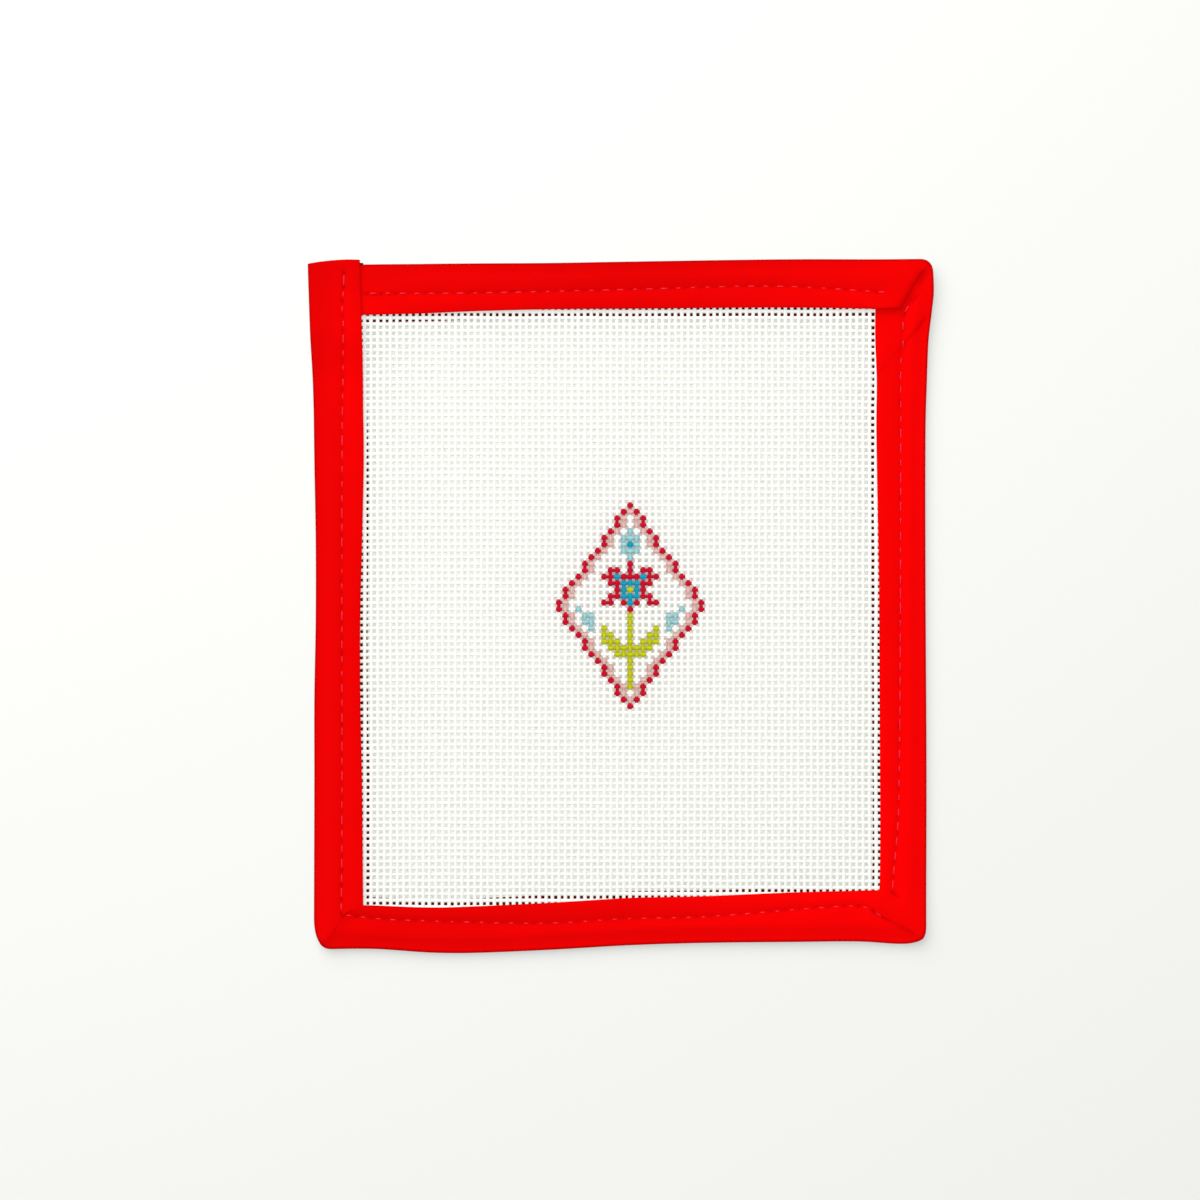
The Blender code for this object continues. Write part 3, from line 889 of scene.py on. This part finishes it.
# %% A shader group for cotton
cotton = Wiring(
    bpy.data.node_groups.new("cotton", "ShaderNodeTree"),
    (("Color", "Colour"), ("Vector", "Where"),
     ("Float", "Fuzz scale", "Patch scale", "Unevenness")),
    (("Color", "Colour"), ("Float", "Fuzz")),
)
given = cotton.node("NodeGroupInput").outputs
fuzz = cotton.noise(given["Where"], given["Fuzz scale"], 3.0)
patch = cotton.noise(given["Where"], given["Patch scale"], 2.0)
both = cotton.calculate("SUBTRACT", cotton.calculate("ADD", fuzz, patch), 1.0)
factor = cotton.calculate("MULTIPLY_ADD", both, given["Unevenness"], 1.0)
cotton.node("NodeGroupOutput", {"Colour": cotton.scaled(given["Colour"], factor), "Fuzz": fuzz})


def cotton_material(name, colour, roughness, specular, fuzz_scale, patch_scale, unevenness):
    """A cotton material, its shader and wiring, and the outputs of the cotton group in it."""
    material, shader = plain_material(name, colour, roughness, specular)
    wiring = Wiring(material.node_tree)
    dye = wiring.node("ShaderNodeGroup", {
        "Colour": (*colour, 1.0), "Where": wiring.out("ShaderNodeTexCoord", "Object"),
        "Fuzz scale": fuzz_scale, "Patch scale": patch_scale, "Unevenness": unevenness,
    }, node_tree=cotton.tree).outputs
    return material, shader, wiring, dye


def mixed(wiring, share, first, second):
    """One colour over another."""
    links = {0: share, 6: first, 7: second}
    return wiring.out("ShaderNodeMix", 2, links, data_type="RGBA")


def finish_cotton(wiring, shader, colour, height, strength, distance):
    """Send the colour to the shader, and the height as a bump."""
    links = {"Height": height, "Strength": strength, "Distance": distance}
    wiring.tree.links.new(colour, shader.inputs["Base Color"])
    bump = wiring.out("ShaderNodeBump", "Normal", links)
    wiring.tree.links.new(bump, shader.inputs["Normal"])


print("the cotton group has", len(cotton.tree.nodes), "nodes")

# %% Red tape: bias weave, dye, painted sheen and painted shade
TAPE_RED = (0.79, 0.0006, 0.0008)
# the dark red that painted shade mixes the cloth toward
TAPE_PAINTED_SHADE = (0.28, 0.0, 0.0)
WEAVE_PITCH = 0.36  # two threads of the tape's plain weave, in millimetres

tape_material, shader, wires, dye = cotton_material(
    "red cotton tape", TAPE_RED, 0.85, 0.01, 2600.0, 90.0, 0.07
)
# painted light: a painted sheen on each leg and painted shade inside the back flap scale the red,
# then painted shade mixes it toward dark red
painted_light = wires.out("ShaderNodeAttribute", "Fac", attribute_name="painted_light")
painted_shade = wires.out("ShaderNodeAttribute", "Fac", attribute_name="painted_shade")
red = mixed(wires, painted_shade, wires.scaled(dye["Colour"], painted_light), (*TAPE_PAINTED_SHADE, 1.0))

strip = wires.out("ShaderNodeUVMap", "UV", uv_map="strip")
split = wires.node("ShaderNodeSeparateXYZ", {"Vector": strip}).outputs
ridges = []
for operation in ("ADD", "SUBTRACT"):  # the two thread directions, at 45 degrees to the strip
    slant = wires.calculate(operation, split["X"], split["Y"])
    turns = wires.calculate("MULTIPLY", slant, math.tau / WEAVE_PITCH * math.sqrt(0.5))
    ridges.append(wires.calculate("SINE", turns))
crossed = wires.calculate("MULTIPLY", *ridges)
height = wires.calculate("MULTIPLY_ADD", crossed, 0.5, dye["Fuzz"])
finish_cotton(wires, shader, red, height, 0.35, 0.00006)
for piece in (top_tape, side_tape):
    piece.data.materials.append(tape_material)
print("the tape's weave is", WEAVE_PITCH, "mm to two threads")


# %% [markdown]
# ## The canvas, thread by thread
#
# Mono canvas is a plain weave: every warp thread goes over one weft thread and under the
# next, and its neighbours do the opposite. With 18 threads to the inch the holes are wide
# enough to see the table through. A woven texture with alpha would be light, but it would
# be flat from the side and the holes would have no depth, so every thread is real here.
#
# The rule is short. Sample a thread twice for each crossing, number the samples j and the
# threads i, and lift each sample by crimp * cos(pi * (j / 2 + i)): up over one thread,
# level between two, down under the next. A low noise lets threads drift, and makes them
# a little thicker and thinner. To keep the mesh light each thread has five sides.
#
# Mono canvas is pressed flat and stiffened, so the crimp is low. Its cotton also lets
# light through, and solid threads would shade each other like bricks in a wall. Subsurface
# scattering could soften that, slowly. Here light linking does it: the key light isn't
# blocked by the weft, and the warp alone shades the holes.

# %% Tree for one direction of threads
ALONG, FROM_THREAD_TO_THREAD = 0.035, 0.35  # how fast the noise changes

weave = Wiring(
    bpy.data.node_groups.new("woven threads", "GeometryNodeTree"),
    (("Geometry", "Geometry"), ("Int", "Threads", "Crossings", "First over"),
     ("Float", "Pitch", "Width", "Height", "Crimp", "Drift", "Slub", "Seed"),
     ("Vector", "Turn", "Corner"), ("Material", "Material")),
    (("Geometry", "Geometry"),),
)
given = weave.node("NodeGroupInput").outputs
half = weave.calculate("MULTIPLY", given["Pitch"], 0.5)
samples = weave.calculate("MULTIPLY_ADD", given["Crossings"], 2.0, 1.0)
thread = weave.out("GeometryNodeMeshLine", "Mesh", {
    "Count": samples, "Offset": weave.vector(X=half),
    "Start Location": weave.vector(X=weave.calculate("MULTIPLY", half, -1.0)),
})
places = weave.out("GeometryNodeMeshLine", "Mesh", {
    "Count": given["Threads"], "Offset": weave.vector(Y=given["Pitch"]),
})
laid = weave.out(
    "GeometryNodeInstanceOnPoints", "Instances", {"Points": places, "Instance": thread}
)
rows = weave.out("GeometryNodeRealizeInstances", "Geometry", {"Geometry": laid})

index = weave.out("GeometryNodeInputIndex", "Index")
numbered = weave.calculate("DIVIDE", weave.calculate("ADD", index, 0.5), samples)
i = weave.calculate("FLOOR", numbered)
j = weave.calculate("SUBTRACT", index, weave.calculate("MULTIPLY", i, samples))
turns = weave.calculate("MULTIPLY_ADD", weave.calculate("SUBTRACT", j, 1.0), 0.5, i)
turns = weave.calculate("ADD", turns, given["First over"])
over = weave.calculate("COSINE", weave.calculate("MULTIPLY", turns, math.pi))


def swing(where, detail, size):
    """A noise that swings to either side of 0, by up to about the given size."""
    centred = weave.calculate("SUBTRACT", weave.noise(where, 1.0, detail), 0.5)
    return weave.calculate("MULTIPLY", centred, weave.calculate("MULTIPLY", size, 4.0))


noise_at = weave.vector(
    X=weave.calculate("MULTIPLY", j, ALONG),
    Y=weave.calculate("MULTIPLY", i, FROM_THREAD_TO_THREAD), Z=given["Seed"],
)
slub_at = weave.out(
    "ShaderNodeVectorMath", "Vector", {0: noise_at, 1: (9.0, 3.0, 5.0)}, operation="MULTIPLY"
)
offset = weave.vector(
    Y=swing(noise_at, 2.0, given["Drift"]), Z=weave.calculate("MULTIPLY", over, given["Crimp"])
)
waved = weave.out("GeometryNodeSetPosition", "Geometry", {"Geometry": rows, "Offset": offset})
marked = weave.out("GeometryNodeStoreNamedAttribute", "Geometry", {
    "Geometry": waved, "Name": "over", "Value": over,
}, data_type="FLOAT", domain="POINT")
curves = weave.out("GeometryNodeMeshToCurve", "Curve", {"Mesh": marked})
upright = weave.out("GeometryNodeSetCurveNormal", "Curve", {"Curve": curves}, mode="Z_UP")

ring = weave.out("GeometryNodeCurvePrimitiveCircle", "Curve", {"Resolution": 5, "Radius": 1.06})
oval = weave.out("GeometryNodeTransform", "Geometry", {
    "Geometry": ring,
    "Scale": weave.vector(
        X=weave.calculate("MULTIPLY", given["Width"], 0.5),
        Y=weave.calculate("MULTIPLY", given["Height"], 0.5), Z=1.0,
    ),
})
tube = weave.out("GeometryNodeCurveToMesh", "Mesh", {
    "Curve": upright, "Profile Curve": oval, "Fill Caps": True,
    "Scale": weave.calculate("ADD", swing(slub_at, 1.0, given["Slub"]), 1.0),
})
soft = weave.out("GeometryNodeSetShadeSmooth", "Geometry", {"Geometry": tube})
turned = weave.out("GeometryNodeTransform", "Geometry", {
    "Geometry": soft, "Rotation": given["Turn"], "Translation": given["Corner"],
})
weave.finish(turned, given["Material"])


# %% [markdown]
# ## Painting the design
#
# On a hand-painted canvas each stitch to come is one dab of paint on one crossing, so a
# design is a chart: one letter for each crossing. This panel's own design is a simple
# flower in a diamond. Its left half is enough, because the right half mirrors it. The
# threads near a crossing take its letter. An image texture could hold the chart too, but
# the letters are easy to read and to change.

# %% The chart
CHART_LEFT_HALF = """
...........r
..........rp
.........rp.
.........rp.
........rp.a
.......rp.aa
.......rp.at
......rp..aa
.....rp....a
....rp.....r
....rp..rr.r
...rp..rrtrr
..rp....rrtt
.rp......rtg
.rp.....rrtt
rp.....rr.rt
rp.a.......r
.rp.aa.....g
.rp.aa.....g
..rp.a.g...g
...rp..gg..g
....rp.ggg.g
....rp..gggg
.....rp..ggg
......rp...g
.......rp..g
.......rp..g
........rp.g
.........rpg
.........rp.
..........rp
...........r
""".split()
PAINTS = {  # colours of the paint, as light comes back from it
    "r": (0.56, 0.0, 0.022),
    "g": (0.52, 0.54, 0.004),
    "t": (0.0, 0.335, 0.505),
    "a": (0.32, 0.60, 0.635),
    "p": (0.73, 0.46, 0.42),
}
CHART = [row + row[-2::-1] for row in CHART_LEFT_HALF]
print(f"the chart is {len(CHART[0])} by {len(CHART)} stitches")

# %% Where the threads lie
PITCH = 1.4112
WARP_FIRST_X = -54.40 - 7 * PITCH  # the leftmost warp thread
WEFT_FIRST_Y = 61.43 - 94 * PITCH  # the lowest weft thread
WARP_THREADS, WEFT_THREADS = 92, 103
CHART_MIDDLE = (1.45, 0.10)
CHART_COLUMN = round((CHART_MIDDLE[0] - WARP_FIRST_X) / PITCH - (len(CHART[0]) - 1) / 2)
CHART_ROW = round((CHART_MIDDLE[1] - WEFT_FIRST_Y) / PITCH + (len(CHART) - 1) / 2)


def paint_at(x, y):
    """The paint on the crossing nearest to each place: red, green, blue and coverage."""
    column = np.round((x - WARP_FIRST_X) / PITCH).astype(int) - CHART_COLUMN
    row = CHART_ROW - np.round((y - WEFT_FIRST_Y) / PITCH).astype(int)
    colours = np.zeros((len(x), 4), np.float32)
    for r, letters in enumerate(CHART):
        for c, letter in enumerate(letters):
            if letter in PAINTS:
                colours[(row == r) & (column == c)] = (*PAINTS[letter], 1.0)
    return colours


print("the chart's top-left crossing is warp", CHART_COLUMN, "and weft", CHART_ROW)

# %% Cotton canvas thread, with paint and a painted highlight on it
CANVAS_WHITE = (0.98, 0.984, 0.957)
# painted highlight and painted shade: the paint is brighter on top of a thread and darker where it
# dips
PAINTED_CROWN_LIGHT = {"From Min": -0.2, "From Max": 1.0, "To Min": 0.85, "To Max": 1.18}

thread_material, shader, wires, dye = cotton_material(
    "painted canvas thread", CANVAS_WHITE, 0.8, 0.15, 4500.0, 160.0, 0.03
)
paint = wires.node("ShaderNodeAttribute", attribute_name="paint").outputs
over = wires.out("ShaderNodeAttribute", "Fac", attribute_name="over")
painted_crown_light = wires.out("ShaderNodeMapRange", "Result", {"Value": over, **PAINTED_CROWN_LIGHT})
colour = mixed(wires, paint["Alpha"], dye["Colour"], wires.scaled(paint["Color"], painted_crown_light))
finish_cotton(wires, shader, colour, dye["Fuzz"], 0.3, 0.00004)
print("paint is", PAINTED_CROWN_LIGHT["To Max"], "times as bright on top of a thread")

# %% Weave the canvas
THREAD_WIDTH, THREAD_HEIGHT, CRIMP, DRIFT, SLUB = 0.81, 0.46, 0.04, 0.10, 0.12
BAKE_SPAN = 150 * MM


def weave_threads(name, threads, crossings, first_over, turn, corner, seed):
    """One direction of threads, lifted with the panel and painted by the chart."""
    piece = grow(name, weave.tree, bpy.data.meshes.new("empty"), {
        "Threads": threads, "Crossings": crossings, "Pitch": PITCH * MM,
        "First over": first_over, "Width": THREAD_WIDTH * MM, "Height": THREAD_HEIGHT * MM,
        "Crimp": CRIMP * MM, "Drift": DRIFT * MM, "Slub": SLUB, "Seed": seed, "Turn": turn,
        "Corner": (corner[0] * MM, corner[1] * MM, CANVAS_MIDDLE_Z * MM),
        "Material": thread_material,
    })
    mesh = piece.data
    points = read_all(mesh.vertices, "co", np.float32, 3)
    x, y = points[:, 0] / MM - CENTRE_SHIFT[0], points[:, 1] / MM - CENTRE_SHIFT[1]
    points[:, 2] = pressed(points[:, 2] / MM + lift("canvas", x, y, 1), x, y) * MM
    mesh.vertices.foreach_set("co", points.reshape(-1))
    middles = read_all(mesh.polygons, "center", np.float32, 3) / MM
    colours = np.repeat(
        paint_at(middles[:, 0], middles[:, 1]), read_all(mesh.polygons, "loop_total", np.int32), 0
    )
    paint = mesh.attributes.new("paint", "FLOAT_COLOR", "CORNER")
    paint.data.foreach_set("color", colours.reshape(-1))
    corners = read_all(mesh.loops, "vertex_index", np.int32)
    set_uv(mesh, "OFBake", points[corners, :2] / BAKE_SPAN + 0.5)
    mesh.update()
    mesh.calc_loop_triangles()
    print(name, len(mesh.loop_triangles), "triangles")
    return piece


weft = weave_threads(
    "canvas_weft_threads", WEFT_THREADS, WARP_THREADS, 0, (0.0, 0.0, 0.0),
    (WARP_FIRST_X, WEFT_FIRST_Y), 1.0,
)
warp = weave_threads(
    "canvas_warp_threads", WARP_THREADS, WEFT_THREADS, 1, (0.0, 0.0, -math.pi / 2),
    (WARP_FIRST_X, WEFT_FIRST_Y + (WEFT_THREADS - 1) * PITCH), 7.0,
)
unshading = bpy.data.collections.new("lets the key light through")
unshading.objects.link(weft)
unshading.collection_objects[0].light_linking.link_state = "EXCLUDE"
key_object.light_linking.blocker_collection = unshading


# %% [markdown]
# ## Sewing it down
#
# A lockstitch shows as a short length of thread that comes up out of one hole and goes
# down into the next. Each leg gets a guide line that lies on the tape along the stitch
# line. The tree spaces points evenly along it and puts a small arched thread on each
# point, turned along the line. How much thread shows differs from leg to leg, so that is
# an input. The bobbin's stitches on the back are the same, upside down.

# %% Sewing thread
SEWING_RED = (0.87, 0.011, 0.047)

thread_red, shader, wires, dye = cotton_material(
    "pink-red sewing thread", SEWING_RED, 0.45, 0.35, 5000.0, 400.0, 0.12
)
finish_cotton(wires, shader, dye["Colour"], dye["Fuzz"], 0.4, 0.00004)

# %% Tree for a row of stitches
sewing = Wiring(
    bpy.data.node_groups.new("row of stitches", "GeometryNodeTree"),
    (("Geometry", "Geometry"), ("Int", "Stitches", "Seed"),
     ("Float", "Showing", "Thread", "Rise", "Unevenness"), ("Material", "Material")),
    (("Geometry", "Geometry"),),
)
given = sewing.node("NodeGroupInput").outputs
guide = sewing.out("GeometryNodeMeshToCurve", "Curve", {"Mesh": given["Geometry"]})
holes = sewing.calculate("MULTIPLY_ADD", given["Stitches"], 2.0, 1.0)
spaced = sewing.out("GeometryNodeResampleCurve", "Curve", {"Curve": guide, "Count": holes})
spots = sewing.node("GeometryNodeCurveToPoints", {"Curve": spaced}, mode="EVALUATED").outputs
along_line = sewing.out("FunctionNodeAxesToRotation", "Rotation", {
    "Primary Axis": (0.0, 0.0, 1.0), "Secondary Axis": spots["Tangent"],
}, primary_axis="Z", secondary_axis="X")
number = sewing.out("GeometryNodeInputIndex", "Index")
middle = sewing.calculate("MODULO", number, 2.0)  # every other point is between two holes

arc = sewing.out("GeometryNodeCurveQuadraticBezier", "Curve", {
    "Resolution": 5, "Start": (-0.5, 0.0, -0.7), "Middle": (0.0, 0.0, 1.7), "End": (0.5, 0.0, -0.7),
})
arched = sewing.out("GeometryNodeTransform", "Geometry", {
    "Geometry": arc, "Scale": sewing.vector(X=given["Showing"], Y=1.0, Z=given["Rise"]),
})
strand = sewing.out("GeometryNodeCurvePrimitiveCircle", "Curve", {
    "Resolution": 6, "Radius": sewing.calculate("MULTIPLY", given["Thread"], 0.5),
})
stitch = sewing.out("GeometryNodeCurveToMesh", "Mesh", {
    "Curve": arched, "Profile Curve": strand, "Fill Caps": True,
})
soft_stitch = sewing.out("GeometryNodeSetShadeSmooth", "Geometry", {"Geometry": stitch})
wobble = sewing.out("FunctionNodeRandomValue", "Value", {
    "Min": (-1.0, -0.3, -0.3), "Max": (1.0, 0.3, 0.3), "Seed": given["Seed"],
}, data_type="FLOAT_VECTOR")
uneven = sewing.scaled(wobble, given["Unevenness"])
sizes = sewing.out(
    "ShaderNodeVectorMath", "Vector", {0: uneven, 1: (1.0, 1.0, 1.0)}, operation="ADD"
)
row = sewing.out("GeometryNodeInstanceOnPoints", "Instances", {
    "Points": spots["Points"], "Instance": soft_stitch, "Selection": middle,
    "Rotation": along_line, "Scale": sizes,
})
sewing.finish(row, given["Material"])

# %% Lay the stitches
THREAD_THICK = 0.22
STITCH_RISE, STITCH_UNEVENNESS = (-0.10, 0.16), 0.40  # on the back, on the front
BOBBIN_SUNK = 0.20


def stitch_guide(leg, side, low, high):
    """A line of points on the front (1) or back (0) of the tape, along the stitch line."""
    line = STITCHING[leg]
    runs, outs = line["runs"], line["outs"]
    outer = edge_out(leg, OUTER, runs)
    at = plan(leg, runs, outs)
    node = "binding_top_tape" if leg == "top" else "binding_side_tape"
    z = lift(node, at[:, 0], at[:, 1], side)
    if side:
        thick = flap_relief(leg, runs, outs, outer - outs, outer - edge_out(leg, INNER, runs))[0]
        z = z + FRONT_INNER_Z + thick + PIT_DEPTH * pits(leg, runs, 0.0)
    else:
        z = z + BACK_INNER_Z - FLAP + BOBBIN_SUNK
    z = pressed(z, at[:, 0], at[:, 1])
    points = np.column_stack((at + CENTRE_SHIFT, z))[(runs >= low) & (runs <= high)]
    mesh = bpy.data.meshes.new("guide")
    mesh.from_pydata((points * MM).tolist(), [(k, k + 1) for k in range(len(points) - 1)], [])
    return mesh


def sew(name, legs):
    """All the stitches on one length of tape, front and back, as one piece."""
    parts = []
    for leg, low, high in legs:
        first, last = STITCHING[leg]["runs"][[0, -1]]
        share = (min(high, last) - max(low, first)) / (last - first)
        for side in (1, 0):
            guide = stitch_guide(leg, side, low, high)
            parts.append(grow(f"{name} {leg} {side}", sewing.tree, guide, {
                "Stitches": round(STITCHING[leg]["stitches"] * share),
                "Showing": STITCH_SHOWING[leg] * MM, "Thread": THREAD_THICK * MM,
                "Rise": STITCH_RISE[side] * MM, "Unevenness": STITCH_UNEVENNESS,
                "Seed": LEG_NAMES.index(leg) * 2 + side, "Material": thread_red,
            }))
    bpy.ops.object.select_all(action="DESELECT")
    for part in parts:
        part.select_set(True)
    piece = bpy.context.view_layer.objects.active = parts[0]
    bpy.ops.object.join()
    piece.name = name
    print(name, len(piece.data.polygons), "faces")
    return piece


top_stitches = sew("top_tape_stitches", (("top", -70, 70), ("right", -70, -55.2)))
side_stitches = sew(
    "side_tape_stitches", (("right", -55.2, 70), ("bottom", -70, 70), ("left", -70, 75))
)


# %% [markdown]
# ## Each piece on the panel's body
#
# Each piece rides on the panel's one body and stands for a node of the imported model,
# whose plain solid is hidden. The canvas and the two lengths of tape are sheets, and both
# directions of thread make one sheet of canvas.

for piece, node, slot in (
    (weft, "canvas", "canvas"), (warp, "canvas", "canvas"),
    (top_tape, "binding_top_tape", "binding"), (side_tape, "binding_side_tape", "binding"),
    (top_stitches, "binding_top_tape", "binding"), (side_stitches, "binding_side_tape", "binding"),
):
    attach(piece, "root")
    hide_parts(node)

# %% Size of the dressed panel
dressed_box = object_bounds()
for corner in dressed_box:
    print("dressed corner, mm:", [round(value / MM, 2) for value in corner])
